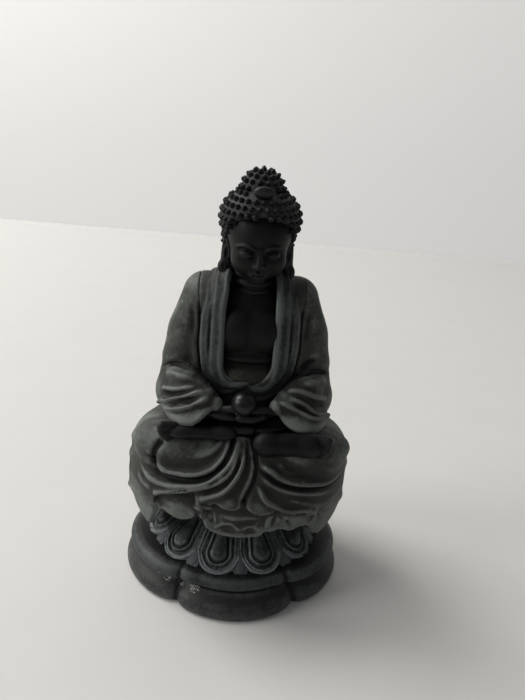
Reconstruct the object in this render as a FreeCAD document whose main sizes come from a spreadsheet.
"""Seated buddha statue, 108 mm tall, as glued castings on a lotus throne.

Millimetres. +Z is up, the figure faces -Y, +X is on the viewer's right when the figure faces the viewer.
The origin is the centre of the plinth's underside. Castings that stand on one another are cut with the
shape they are glued to, so they meet face to face.
"""
import FreeCAD, Part
import Sketcher
import math
import os
import re

doc = FreeCAD.newDocument("BuddhaStatue")

# ---------------------------------------------------------------- driving dimensions
DIMENSIONS = [
    # plinth: five round lobes, one pointing to the front
    ("lobe_radius", 22.3, "radius of each lobe of the foot"),
    ("foot_front_offset", 6.6, "front lobe's axis from the centre"),
    ("foot_side_offset", 7.2, "side lobes' axes from the centre"),
    ("foot_back_offset", 8.16, "back lobes' axes from the centre"),
    ("foot_thick", 6.2, "height of the foot"),
    ("foot_bead", 2.2, "rolled upper edge of the foot"),
    ("band_lobe_radius", 22.0, "radius of each lobe of the band"),
    ("band_front_offset", 3.9, "front lobe's axis from the centre"),
    ("band_side_offset", 6.5, "side lobes' axes from the centre"),
    ("band_back_offset", 5.6, "back lobes' axes from the centre"),
    ("band_thick", 4.0, "height of the band"),
    ("band_round", 1.6, "rounding of the band's upper edge"),
    # lotus throne
    ("core_low_radius", 21.4, "drum radius at the band"),
    ("core_top_radius", 15.6, "drum radius at the waist"),
    ("core_cone_height", 6.4, "height of the sloped drum"),
    ("spigot_radius", 12.0, "round spigot that enters the robe casting"),
    ("spigot_height", 6.0, "length of the spigot"),
    ("petal_count", 11, "large petals round the drum"),
    ("petal_turn", 3.4, "first gap between petals, degrees from the front"),
    ("petal_ring_radius", 19.4, "petal centres from the axis"),
    ("petal_height", 12.9, "petal centres above the floor"),
    ("petal_slope", 48.0, "lean of the petals, degrees"),
    ("petal_half_width", 4.9, "half width of a petal"),
    ("petal_half_length", 5.2, "half length of a petal"),
    ("petal_half_thick", 1.7, "half thickness of a petal"),
    ("tip_ring_radius", 21.7, "small tips from the axis"),
    ("tip_height", 10.9, "small tips above the floor"),
    ("tip_half_width", 1.2, "half width of a small tip"),
    ("tip_half_length", 2.0, "half length of a small tip"),
    # robe over the throne
    ("hem_height", 14.6, "hem at the sides and back"),
    ("hem_rise", 15.0, "hem rises to the front, degrees"),
    ("hem_level_from", -2.0, "Y where the hem starts to rise"),
    ("skirt_shift", -1.0, "robe sections' centre in Y"),
    ("mantle_shift", 1.0, "shoulder sections' centre in Y"),
    ("shin_reach", 12.5, "shin casting's centre from the middle"),
    ("shin_front", -13.5, "shin casting's centre in Y"),
    ("shin_height", 41.0, "shin casting's centre above the floor"),
    ("shin_half_length", 13.5, "half length of a shin"),
    ("shin_half_depth", 8.4, "half depth of a shin"),
    ("shin_half_thick", 6.4, "half thickness of a shin"),
    ("hem_fold_size", 3.0, "half width of a folded corner"),
    ("hem_fold_drop", 4.0, "half height of a folded corner"),
    ("hem_fold_thick", 1.3, "half thickness of a folded corner"),
    ("hem_fold_reach", 25.0, "folded corners from the axis"),
    ("hem_fold_flatten", 0.82, "hem's depth over its width"),
    ("hem_fold_height", 14.6, "folded corners above the floor"),
    # feet, hands and ball
    ("foot_half_length", 8.6, "half length of a sole"),
    ("foot_half_depth", 3.4, "half depth of a sole"),
    ("foot_half_thick", 2.6, "half thickness of a foot"),
    ("foot_reach", 11.6, "centre of a foot from the middle"),
    ("foot_left_height", 47.0, "height of the foot on the figure's right shin"),
    ("foot_right_height", 45.7, "height of the foot on the figure's left shin"),
    ("foot_front", -17.4, "feet's centre in Y"),
    ("hand_half_width", 8.6, "half width of a hand across the lap"),
    ("hand_half_depth", 3.9, "half depth of a hand"),
    ("hand_half_thick", 1.6, "half thickness of a hand"),
    ("hand_front", -13.6, "hands' centre in Y"),
    ("hand_low_height", 47.8, "lower hand above the floor"),
    ("hand_high_height", 50.2, "upper hand above the floor"),
    ("ball_radius", 3.1, "polished ball"),
    ("ball_shift", -0.6, "ball's centre in X"),
    ("ball_front", -14.1, "ball's centre in Y"),
    ("ball_height", 52.8, "ball's centre above the floor"),
    ("peg_radius", 0.8, "peg that locates the ball on the hands"),
    # trunk
    ("trunk_half_width", 11.5, "chest casting"),
    ("trunk_half_depth", 8.7, "chest casting"),
    ("trunk_half_height", 19.0, "chest casting"),
    ("trunk_height", 62.5, "chest casting's centre above the floor"),
    ("trunk_shift", -0.6, "chest casting's centre in Y"),
    ("opening_half_width", 6.0, "bare chest between the collar bands"),
    ("opening_low", 57.0, "lowest bare point of the belly"),
    ("opening_high", 84.0, "top of the robe's opening"),
    ("collar_width", 5.6, "width of a collar band"),
    ("collar_proud", 0.9, "collar band stands proud of the robe"),
    ("collar_low", 53.5, "lower end of the collar bands"),
    ("front_reach", 24.0, "cutting boxes reach this far to the front"),
    # arms in their sleeves
    ("arm_half_length", 13.8, "shoulder to elbow, half length"),
    ("arm_half_width", 4.7, "upper arm's half width"),
    ("arm_half_depth", 5.6, "upper arm's half depth"),
    ("arm_reach", 17.2, "upper arm's centre from the middle"),
    ("arm_height", 66.0, "upper arm's centre above the floor"),
    ("arm_front", -0.6, "upper arm's centre in Y"),
    ("arm_splay", 10.0, "upper arm leans out, degrees"),
    ("forearm_half_length", 10.4, "elbow to wrist, half length"),
    ("forearm_half_width", 4.2, "forearm's half width"),
    ("forearm_half_depth", 4.9, "forearm's half height with its hanging sleeve"),
    ("forearm_reach", 14.4, "forearm's centre from the middle"),
    ("forearm_height", 51.2, "forearm's centre above the floor"),
    ("forearm_front", -8.8, "forearm's centre in Y"),
    ("forearm_turn", 43.0, "forearm's turn towards the lap, degrees"),
    # neck and head
    ("neck_radius", 5.3, "neck"),
    ("neck_low", 76.0, "neck's lower end inside the chest"),
    ("neck_length", 12.0, "neck with both plugs"),
    ("head_shift", 0.6, "head's centre in X"),
    ("head_front", -2.8, "head's centre in Y"),
    ("head_height", 91.0, "head's centre above the floor"),
    ("head_half_width", 7.7, "head without hair"),
    ("head_half_depth", 8.0, "head without hair"),
    ("head_half_height", 9.4, "head without hair"),
    ("ear_half_width", 1.3, "ear with its long lobe"),
    ("ear_half_depth", 2.0, "ear with its long lobe"),
    ("ear_half_height", 4.9, "ear with its long lobe"),
    ("ear_reach", 8.0, "ears from the head's middle"),
    ("ear_height", 86.0, "ears above the floor"),
    ("ear_shift", -1.4, "ears in Y"),
    ("hair_half_width", 9.2, "hair cap"),
    ("hair_half_depth", 9.6, "hair cap"),
    ("hair_half_height", 7.4, "hair cap"),
    ("hair_height", 96.6, "hair cap's centre above the floor"),
    ("hair_front", -1.6, "hair cap's centre in Y"),
    ("nape_half_width", 8.0, "hair on the back of the head"),
    ("nape_half_depth", 7.0, "hair on the back of the head"),
    ("nape_half_height", 8.5, "hair on the back of the head"),
    ("nape_height", 91.5, "back hair's centre above the floor"),
    ("nape_front", 0.8, "back hair's centre in Y"),
    ("hairline_tilt", 38.0, "hairline rises to the front, degrees"),
    ("hairline_height", 90.6, "hairline above the floor at the ears"),
    ("curl_radius", 0.8, "one snail curl"),
    ("curl_pitch", 1.9, "spacing of the curls"),
    ("curl_gap", 0.02, "glue under a curl"),
    ("bun_half_width", 4.9, "ushnisha"),
    ("bun_half_height", 4.9, "ushnisha"),
    ("bun_height", 102.6, "ushnisha's centre above the floor"),
    ("bun_front", -1.0, "ushnisha's centre in Y"),
    ("bun_half_depth", 4.8, "ushnisha"),
    ("jewel_half_width", 2.4, "jewel on the hair"),
    ("jewel_half_depth", 1.1, "jewel on the hair"),
    ("jewel_half_height", 1.6, "jewel on the hair"),
    ("jewel_height", 102.7, "jewel above the floor"),
    ("jewel_front", -8.4, "jewel's centre in Y"),
]
FAR = 60  # larger than any half width of the statue
SAME = 1e-6  # lengths closer than this are equal
# lowest and highest rows of curls on each part of the hair, as latitudes
CAP_ROWS, NAPE_ROWS, BUN_ROWS = (-40, 75), (-60, 20), (-5, 78)
LOBES = [(0, "front"), (72, "side"), (144, "back"), (216, "back"), (288, "side")]

# robe over the throne: height, half width, half depth
SKIRT_SECTIONS = [(14.6, 25.5, 19.0), (19, 28.8, 22.0), (26, 30.0, 24.0), (33, 30.0, 23.8),
                  (39, 28.6, 22.0), (43.5, 24.5, 18.0), (46.5, 18.5, 12.5)]
# robe over the back and shoulders: height, half width, half depth
MANTLE_SECTIONS = [(46.5, 17.0, 11.0), (52, 17.6, 11.2), (60, 17.4, 10.8), (68, 17.2, 10.2),
                   (74, 17.0, 9.6), (78, 15.4, 8.8), (80.5, 12.0, 7.8), (82.5, 8.6, 6.6)]

sheet = doc.addObject("Spreadsheet::Sheet", "Sheet")
for row, (alias, value, note) in enumerate(DIMENSIONS, start=1):
    sheet.set(f"A{row}", alias.replace("_", " "))
    sheet.set(f"B{row}", str(value))
    sheet.set(f"C{row}", note)
    sheet.setAlias(f"B{row}", alias)
doc.recompute()

ALIASES = {alias for alias, _, _ in DIMENSIONS}
nodes = []


def size(alias):
    """A driving dimension's number, for geometry that is worked out in code."""
    return float(sheet.get(alias))


def bind(item, **formulas):
    """Binds properties to formulas in which every driving dimension is written by its alias."""
    for prop, formula in formulas.items():
        text = re.sub("[a-z_]+", lambda word: "Sheet." + word[0] if word[0] in ALIASES else word[0], formula)
        item.setExpression(prop.replace("__", "."), text)
    return item


def place(item, x="0", y="0", z="0", turn=None):
    """Binds an object's position, after an optional fixed rotation."""
    if turn is not None:
        item.Placement = FreeCAD.Placement(FreeCAD.Vector(), turn)
    return bind(item, Placement__Base__x=x, Placement__Base__y=y, Placement__Base__z=z)


def about(axis, degrees):
    """A rotation about a named axis."""
    return FreeCAD.Rotation(FreeCAD.Vector(axis == "x", axis == "y", axis == "z"), degrees)


def ellipsoid(name, half_x, half_y, half_z, x, y, z, turn=None):
    item = doc.addObject("Part::Ellipsoid", name)
    item.Angle1 = -90
    bind(item, Radius2=half_x, Radius3=half_y, Radius1=half_z)
    return place(item, x, y, z, turn)


def cylinder(name, radius, height, x, y, z):
    item = doc.addObject("Part::Cylinder", name)
    bind(item, Radius=radius, Height=height)
    return place(item, x, y, z)


def box(name, length, width, height, x, y, z):
    item = doc.addObject("Part::Box", name)
    bind(item, Length=length, Width=width, Height=height)
    return place(item, x, y, z)


def fuse(name, *items):
    item = doc.addObject("Part::MultiFuse", name)
    item.Shapes = list(items)
    return item


def cut(name, base, *tools):
    """base without the tools, which are castings that it is glued to."""
    item = doc.addObject("Part::Cut", name)
    item.Base = base
    item.Tool = tools[0] if len(tools) == 1 else fuse(name + "_tools", *tools)
    return item


def common(name, base, tool):
    item = doc.addObject("Part::Common", name)
    item.Base = base
    item.Tool = tool
    return item


def half_space(name, through, tilt):
    """A large box whose upper face passes through a point, tilted about +X by some degrees."""
    item = doc.addObject("Part::Box", name)
    item.Length = item.Width = 2 * FAR
    item.Height = FAR
    corner = FreeCAD.Placement(FreeCAD.Vector(-FAR, -FAR, -FAR), FreeCAD.Rotation())
    item.Placement = FreeCAD.Placement(through, about("x", tilt)) * corner
    return item


def node(name, item):
    """Names a finished sub-part. Its file gets the same name."""
    item.Label = name
    nodes.append((name, item))
    return item


def feature(name, shape):
    """A sub-part whose many equal solids are worked out in code."""
    item = doc.addObject("Part::Feature", name)
    item.Shape = shape
    return item


def origin_plane(body, role):
    return next(f for f in body.Origin.OriginFeatures if f.Role == role)


def loft(name, sections, shift_y, grow=0.0):
    """A PartDesign loft through level ellipses, given as height, half width and half depth."""
    body = doc.addObject("PartDesign::Body", name)
    sketches = []
    for number, (height, half_width, half_depth) in enumerate(sections):
        sketch = body.newObject("Sketcher::SketchObject", f"{name}_section_{number}")
        sketch.AttachmentSupport = [(origin_plane(body, "XY_Plane"), "")]
        sketch.MapMode = "FlatFace"
        sketch.AttachmentOffset = FreeCAD.Placement(FreeCAD.Vector(0, 0, height), FreeCAD.Rotation())
        sketch.addGeometry(
            Part.Ellipse(
                FreeCAD.Vector(half_width + grow, 0, 0),
                FreeCAD.Vector(0, half_depth + grow, 0),
                FreeCAD.Vector(0, 0, 0),
            ),
            False,
        )
        sketches.append(sketch)
    item = body.newObject("PartDesign::AdditiveLoft", name + "_loft")
    item.Profile = sketches[0]
    item.Sections = sketches[1:]
    body.Tip = item
    return place(body, y=shift_y)


# ---------------------------------------------------------------- plinth
def lobed_tier(name, radius, prefix, thickness, rounding, low):
    """A PartDesign pad over five arcs that meet in notches, with its upper edge rounded.

    Each arc's centre lies on the ray of its lobe. Neighbouring arcs meet where their circles cross outside.
    """
    body = doc.addObject("PartDesign::Body", name)
    sketch = body.newObject("Sketcher::SketchObject", name + "_outline")
    sketch.AttachmentSupport = [(origin_plane(body, "XY_Plane"), "")]
    sketch.MapMode = "FlatFace"
    lobe = size(radius)
    centres = []
    for angle, where in LOBES:
        reach = size(f"{prefix}_{where}_offset")
        turn = math.radians(angle)
        centres.append(FreeCAD.Vector(reach * math.sin(turn), -reach * math.cos(turn), 0))
    notches = []
    for here, after in zip(centres, centres[1:] + centres[:1]):
        step = after - here
        outward = FreeCAD.Vector(step.y, -step.x, 0).normalize()
        notches.append(here + step * 0.5 + outward * math.sqrt(lobe**2 - step.Length**2 / 4))
    for number, centre in enumerate(centres):
        start, end = notches[number - 1] - centre, notches[number] - centre
        circle = Part.Circle(centre, FreeCAD.Vector(0, 0, 1), lobe)
        arc = Part.ArcOfCircle(circle, math.atan2(start.y, start.x), math.atan2(end.y, end.x))
        sketch.addGeometry(arc, False)
    for number, (angle, where) in enumerate(LOBES):
        following = (number + 1) % len(LOBES)
        sketch.addConstraint(Sketcher.Constraint("Coincident", number, 2, following, 1))
        hold(sketch, Sketcher.Constraint("Radius", number, lobe), radius)
        offset = f"{prefix}_{where}_offset"
        hold(sketch, Sketcher.Constraint("DistanceY", number, 3, centres[number].y), f"-{offset} * cos({angle})")
        if angle == 0:
            sketch.addConstraint(Sketcher.Constraint("PointOnObject", number, 3, -2))
        else:
            hold(sketch, Sketcher.Constraint("DistanceX", number, 3, centres[number].x), f"{offset} * sin({angle})")
    pad = body.newObject("PartDesign::Pad", name + "_pad")
    pad.Profile = sketch
    bind(pad, Length=thickness)
    doc.recompute()
    top = max(v.Z for v in pad.Shape.Vertexes)
    rim = [
        f"Edge{number}"
        for number, edge in enumerate(pad.Shape.Edges, start=1)
        if all(abs(v.Z - top) < SAME for v in edge.Vertexes)
    ]
    round_edge = body.newObject("PartDesign::Fillet", name + "_round")
    round_edge.Base = (pad, rim)
    bind(round_edge, Radius=rounding)
    body.Tip = round_edge
    return place(body, z=low)


def hold(sketch, constraint, formula):
    """Adds a dimension to a sketch and binds it to the sheet."""
    number = sketch.addConstraint(constraint)
    bind(sketch, **{f"Constraints[{number}]": formula})


plinth_foot = node("plinth_foot", lobed_tier("PlinthFoot", "lobe_radius", "foot", "foot_thick", "foot_bead", "0"))
plinth_band = node(
    "plinth_band",
    lobed_tier("PlinthBand", "band_lobe_radius", "band", "band_thick", "band_round", "foot_thick"),
)

# ---------------------------------------------------------------- lotus throne
drum = doc.addObject("Part::Cone", "Drum")
bind(drum, Radius1="core_low_radius", Radius2="core_top_radius", Height="core_cone_height")
place(drum, z="foot_thick + band_thick")
spigot = cylinder(
    "Spigot", "spigot_radius", "core_cone_height + spigot_height", "0", "0", "foot_thick + band_thick"
)
lotus_core = node("lotus_core", fuse("LotusCore", drum, spigot))

skirt_whole = loft("SkirtWhole", SKIRT_SECTIONS, "skirt_shift")
below_hem = half_space("BelowHem", FreeCAD.Vector(0, size("hem_level_from"), size("hem_height")), -size("hem_rise"))
robe_skirt = node("robe_skirt", cut("RobeSkirt", skirt_whole, lotus_core, below_hem))
doc.recompute()


def ring_of(shape, count, first):
    """Copies of a shape that faces -Y, turned about +Z to equal steps from the angle first."""
    copies = []
    for number in range(count):
        copy = shape.copy()
        copy.rotate(FreeCAD.Vector(), FreeCAD.Vector(0, 0, 1), first + number * 360 / count)
        copies.append(copy)
    return Part.makeCompound(copies)


def petal(half_width, half_length, half_thick, ring_radius, height):
    """A flattened ellipsoid that lies on the sloped drum in front of the axis."""
    item = ellipsoid(
        "Petal", half_width, half_length, half_thick, "0", "-" + ring_radius, height,
        turn=about("x", size("petal_slope")),
    )
    doc.recompute()
    shape = item.Shape.copy()
    doc.removeObject(item.Name)
    return shape


petal_total = int(size("petal_count"))
half_step = 180 / petal_total
petal_shape = petal("petal_half_width", "petal_half_length", "petal_half_thick", "petal_ring_radius", "petal_height")
petal_turn = size("petal_turn")
petal_ring = feature("PetalRing", ring_of(petal_shape, petal_total, petal_turn + half_step))
lotus_petals = node("lotus_petals", cut("LotusPetals", petal_ring, lotus_core, robe_skirt, plinth_band))
tip_shape = petal("tip_half_width", "tip_half_length", "petal_half_thick", "tip_ring_radius", "tip_height")
tip_ring = feature("TipRing", ring_of(tip_shape, petal_total, petal_turn))
node("lotus_petal_tips", cut("LotusPetalTips", tip_ring, lotus_core, plinth_band, lotus_petals))

# ---------------------------------------------------------------- crossed legs and hem
shins = {}
for side, sign in (("left", "-"), ("right", "")):
    shins[side] = ellipsoid(
        f"Shin_{side}", "shin_half_length", "shin_half_depth", "shin_half_thick",
        sign + "shin_reach", "shin_front", "shin_height",
    )
lap_left = node("lap_left", cut("LapLeft", shins["left"], robe_skirt))
lap_right = node("lap_right", cut("LapRight", shins["right"], robe_skirt, lap_left))

HEM_FOLD_ANGLES = (-72, -44, 44, 72)
hem_pieces = []
for number, angle in enumerate(HEM_FOLD_ANGLES):
    fold = ellipsoid(
        f"HemFold_{number}", "hem_fold_size", "hem_fold_thick", "hem_fold_drop",
        f"hem_fold_reach * sin({angle})", f"-hem_fold_reach * cos({angle}) * hem_fold_flatten", "hem_fold_height",
        turn=about("z", angle),
    )
    hem_pieces.append(fold)
hem_folds = node("hem_folds", cut("HemFolds", fuse("HemFoldSet", *hem_pieces), robe_skirt, lotus_core, lotus_petals))

# ---------------------------------------------------------------- feet, hands, ball
foot_solids = {}
for side, sign in (("left", "-"), ("right", "")):
    foot_solids[side] = ellipsoid(
        f"Sole_{side}", "foot_half_length", "foot_half_depth", "foot_half_thick",
        sign + "foot_reach", "foot_front", f"foot_{side}_height",
    )
foot_left = node("foot_left", cut("FootLeft", foot_solids["left"], robe_skirt, lap_left, lap_right))
foot_right = node("foot_right", cut("FootRight", foot_solids["right"], robe_skirt, lap_left, lap_right))

neck = node("neck", cylinder("Neck", "neck_radius", "neck_length", "head_shift * 0.5", "trunk_shift", "neck_low"))
trunk_whole = ellipsoid(
    "TrunkWhole", "trunk_half_width", "trunk_half_depth", "trunk_half_height", "0", "trunk_shift", "trunk_height"
)
torso = node("torso", cut("Torso", trunk_whole, robe_skirt, lap_left, lap_right, neck))

hand_low_whole = ellipsoid(
    "HandLowWhole", "hand_half_width", "hand_half_depth", "hand_half_thick", "0", "hand_front", "hand_low_height"
)
below_hands = (robe_skirt, lap_left, lap_right, foot_left, foot_right, torso)
hand_lower = node("hand_lower", cut("HandLower", hand_low_whole, *below_hands))
hand_high_whole = ellipsoid(
    "HandHighWhole", "hand_half_width", "hand_half_depth", "hand_half_thick", "0", "hand_front", "hand_high_height"
)
peg = cylinder("Peg", "peg_radius", "ball_height - hand_high_height", "ball_shift", "ball_front", "hand_high_height")
hand_upper = node(
    "hand_upper", cut("HandUpper", fuse("HandAndPeg", hand_high_whole, peg), hand_lower, *below_hands)
)
sphere = doc.addObject("Part::Sphere", "Sphere")
bind(sphere, Radius="ball_radius")
place(sphere, "ball_shift", "ball_front", "ball_height")
ball = node("ball", cut("Ball", sphere, hand_upper))

# ---------------------------------------------------------------- robe over the trunk
mantle_whole = loft("MantleWhole", MANTLE_SECTIONS, "mantle_shift")
opening = box(
    "Opening", "2 * opening_half_width", "front_reach", "opening_high - opening_low",
    "-opening_half_width", "trunk_shift - front_reach", "opening_low",
)
robe_mantle = node(
    "robe_mantle",
    cut("RobeMantle", mantle_whole, opening, torso, neck, robe_skirt, lap_left, lap_right, hand_lower, hand_upper),
)
collar_skin = cut("CollarSkin", loft("CollarOuter", MANTLE_SECTIONS, "mantle_shift", size("collar_proud")), mantle_whole)
collars = []
for side, low_x in (("left", "-opening_half_width - collar_width"), ("right", "opening_half_width")):
    strip = box(
        f"CollarStrip_{side}", "collar_width", "front_reach", "opening_high - collar_low",
        low_x, "mantle_shift - front_reach", "collar_low",
    )
    collar = common(f"CollarBand_{side}", collar_skin, strip)
    collars.append(node(f"collar_{side}", cut(f"Collar_{side}", collar, neck, ball)))

# ---------------------------------------------------------------- arms in their sleeves
arms = []
under_arms = (robe_mantle, torso, robe_skirt, lap_left, lap_right, *collars)
for side, sign, turn in (("left", "-", 1), ("right", "", -1)):
    seam_outside = about("z", 180 if side == "left" else 0)
    upper = ellipsoid(
        f"UpperArm_{side}", "arm_half_width", "arm_half_depth", "arm_half_length",
        sign + "arm_reach", "arm_front", "arm_height", turn=about("y", turn * size("arm_splay")) * seam_outside,
    )
    sleeve = node(f"sleeve_{side}", cut(f"Sleeve_{side}", upper, *under_arms))
    fore = ellipsoid(
        f"Forearm_{side}", "forearm_half_length", "forearm_half_width", "forearm_half_depth",
        sign + "forearm_reach", "forearm_front", "forearm_height",
        turn=about("z", -turn * size("forearm_turn")) * seam_outside,
    )
    cuff = node(
        f"cuff_{side}",
        cut(f"Cuff_{side}", fore, sleeve, hand_lower, hand_upper, foot_left, foot_right, ball, *under_arms),
    )
    arms += [sleeve, cuff]

# ---------------------------------------------------------------- head
head_whole = ellipsoid(
    "HeadWhole", "head_half_width", "head_half_depth", "head_half_height",
    "head_shift", "head_front", "head_height",
)
head = node("head", cut("Head", head_whole, neck, robe_mantle, *collars))
cap = ellipsoid(
    "Cap", "hair_half_width", "hair_half_depth", "hair_half_height", "head_shift", "hair_front", "hair_height"
)
nape = ellipsoid(
    "Nape", "nape_half_width", "nape_half_depth", "nape_half_height", "head_shift", "nape_front", "nape_height"
)
below_hairline = half_space(
    "BelowHairline", FreeCAD.Vector(0, 0, size("hairline_height")), -size("hairline_tilt")
)
hair_cap = node("hair_cap", cut("HairCap", fuse("HairWhole", cap, nape), head, neck, below_hairline))
bun = ellipsoid("Bun", "bun_half_width", "bun_half_depth", "bun_half_height", "head_shift", "bun_front", "bun_height")
ushnisha = node("ushnisha", cut("Ushnisha", bun, hair_cap, head))
gem = ellipsoid(
    "Gem", "jewel_half_width", "jewel_half_depth", "jewel_half_height", "head_shift", "jewel_front", "jewel_height"
)
hair_jewel = node("hair_jewel", cut("HairJewel", gem, hair_cap, ushnisha))
for side, sign in (("left", "-"), ("right", "+")):
    ear = ellipsoid(
        f"EarWhole_{side}", "ear_half_width", "ear_half_depth", "ear_half_height",
        f"head_shift {sign} ear_reach", "ear_shift", "ear_height",
    )
    node(f"ear_{side}", cut(f"Ear_{side}", ear, head, hair_cap, neck, robe_mantle, *collars))
doc.recompute()


def egg(half_x, half_y, half_z, centre_y, centre_z):
    """An ellipsoid of the hair as (centre, half sizes) in numbers."""
    centre = FreeCAD.Vector(size("head_shift"), size(centre_y), size(centre_z))
    return centre, FreeCAD.Vector(size(half_x), size(half_y), size(half_z))


def depth_in(point, ellipsoid_numbers):
    """Below 1 inside the ellipsoid, above 1 outside."""
    centre, half = ellipsoid_numbers
    away = point - centre
    return math.sqrt((away.x / half.x) ** 2 + (away.y / half.y) ** 2 + (away.z / half.z) ** 2)


def curl_domes(surface, latitudes, others, keep):
    """Half spheres in level rows on an ellipsoid, between two latitudes, standing on its tangent planes."""
    centre, half = surface
    low, high = latitudes
    radius, pitch = size("curl_radius"), size("curl_pitch")
    rows = round(math.radians(high - low) * (half.z + half.x) / 2 / pitch)
    domes = []
    for row in range(rows + 1):
        latitude = math.radians(low + (high - low) * row / rows)
        ring = 2 * math.pi * math.cos(latitude) * (half.x + half.y) / 2
        total = max(1, int(ring / pitch))
        for number in range(total):
            turn = 2 * math.pi * (number + 0.5 * (row % 2)) / total
            unit = FreeCAD.Vector(
                math.cos(latitude) * math.sin(turn), -math.cos(latitude) * math.cos(turn), math.sin(latitude)
            )
            point = centre + FreeCAD.Vector(unit.x * half.x, unit.y * half.y, unit.z * half.z)
            normal = FreeCAD.Vector(unit.x / half.x, unit.y / half.y, unit.z / half.z).normalize()
            clear = all(depth_in(point, other) > 1 + radius / other[1].x for other in others)
            if clear and keep(point):
                lifted = point + normal * size("curl_gap")
                domes.append(Part.makeSphere(radius, lifted, normal, 0, 90, 360))
    return domes


def above_hairline(point):
    slope = math.tan(math.radians(size("hairline_tilt")))
    return point.z + slope * point.y > size("hairline_height") + size("curl_radius")


cap_egg = egg("hair_half_width", "hair_half_depth", "hair_half_height", "hair_front", "hair_height")
nape_egg = egg("nape_half_width", "nape_half_depth", "nape_half_height", "nape_front", "nape_height")
bun_egg = egg("bun_half_width", "bun_half_depth", "bun_half_height", "bun_front", "bun_height")
gem_egg = egg("jewel_half_width", "jewel_half_depth", "jewel_half_height", "jewel_front", "jewel_height")
cap_domes = curl_domes(cap_egg, CAP_ROWS, (nape_egg, bun_egg, gem_egg), above_hairline)
nape_domes = curl_domes(nape_egg, NAPE_ROWS, (cap_egg,), above_hairline)
node("hair_curls", feature("HairCurls", Part.makeCompound(cap_domes + nape_domes)))
bun_domes = curl_domes(bun_egg, BUN_ROWS, (cap_egg, gem_egg), lambda point: True)
node("ushnisha_curls", feature("UshnishaCurls", Part.makeCompound(bun_domes)))

# ---------------------------------------------------------------- checks and files
doc.recompute()
for item in doc.Objects:
    faults = {"Invalid", "Error"} & set(item.State)
    if faults:
        raise RuntimeError(f"{item.Label} is {faults}")
for name, item in nodes:
    if item.Shape.isNull() or not item.Shape.isValid() or not item.Shape.Solids:
        raise RuntimeError(f"{name} has no valid solid")

os.makedirs("parts", exist_ok=True)
for name, item in nodes:
    item.Shape.exportStep(f"parts/{name}.step")
    box_of = item.Shape.BoundBox
    print(
        f"{name:18s} solids {len(item.Shape.Solids):3d}  volume {item.Shape.Volume:9.1f}"
        f"  z {box_of.ZMin:6.2f} {box_of.ZMax:6.2f}  x {box_of.XMin:6.2f} {box_of.XMax:6.2f}"
        f"  y {box_of.YMin:6.2f} {box_of.YMax:6.2f}"
    )
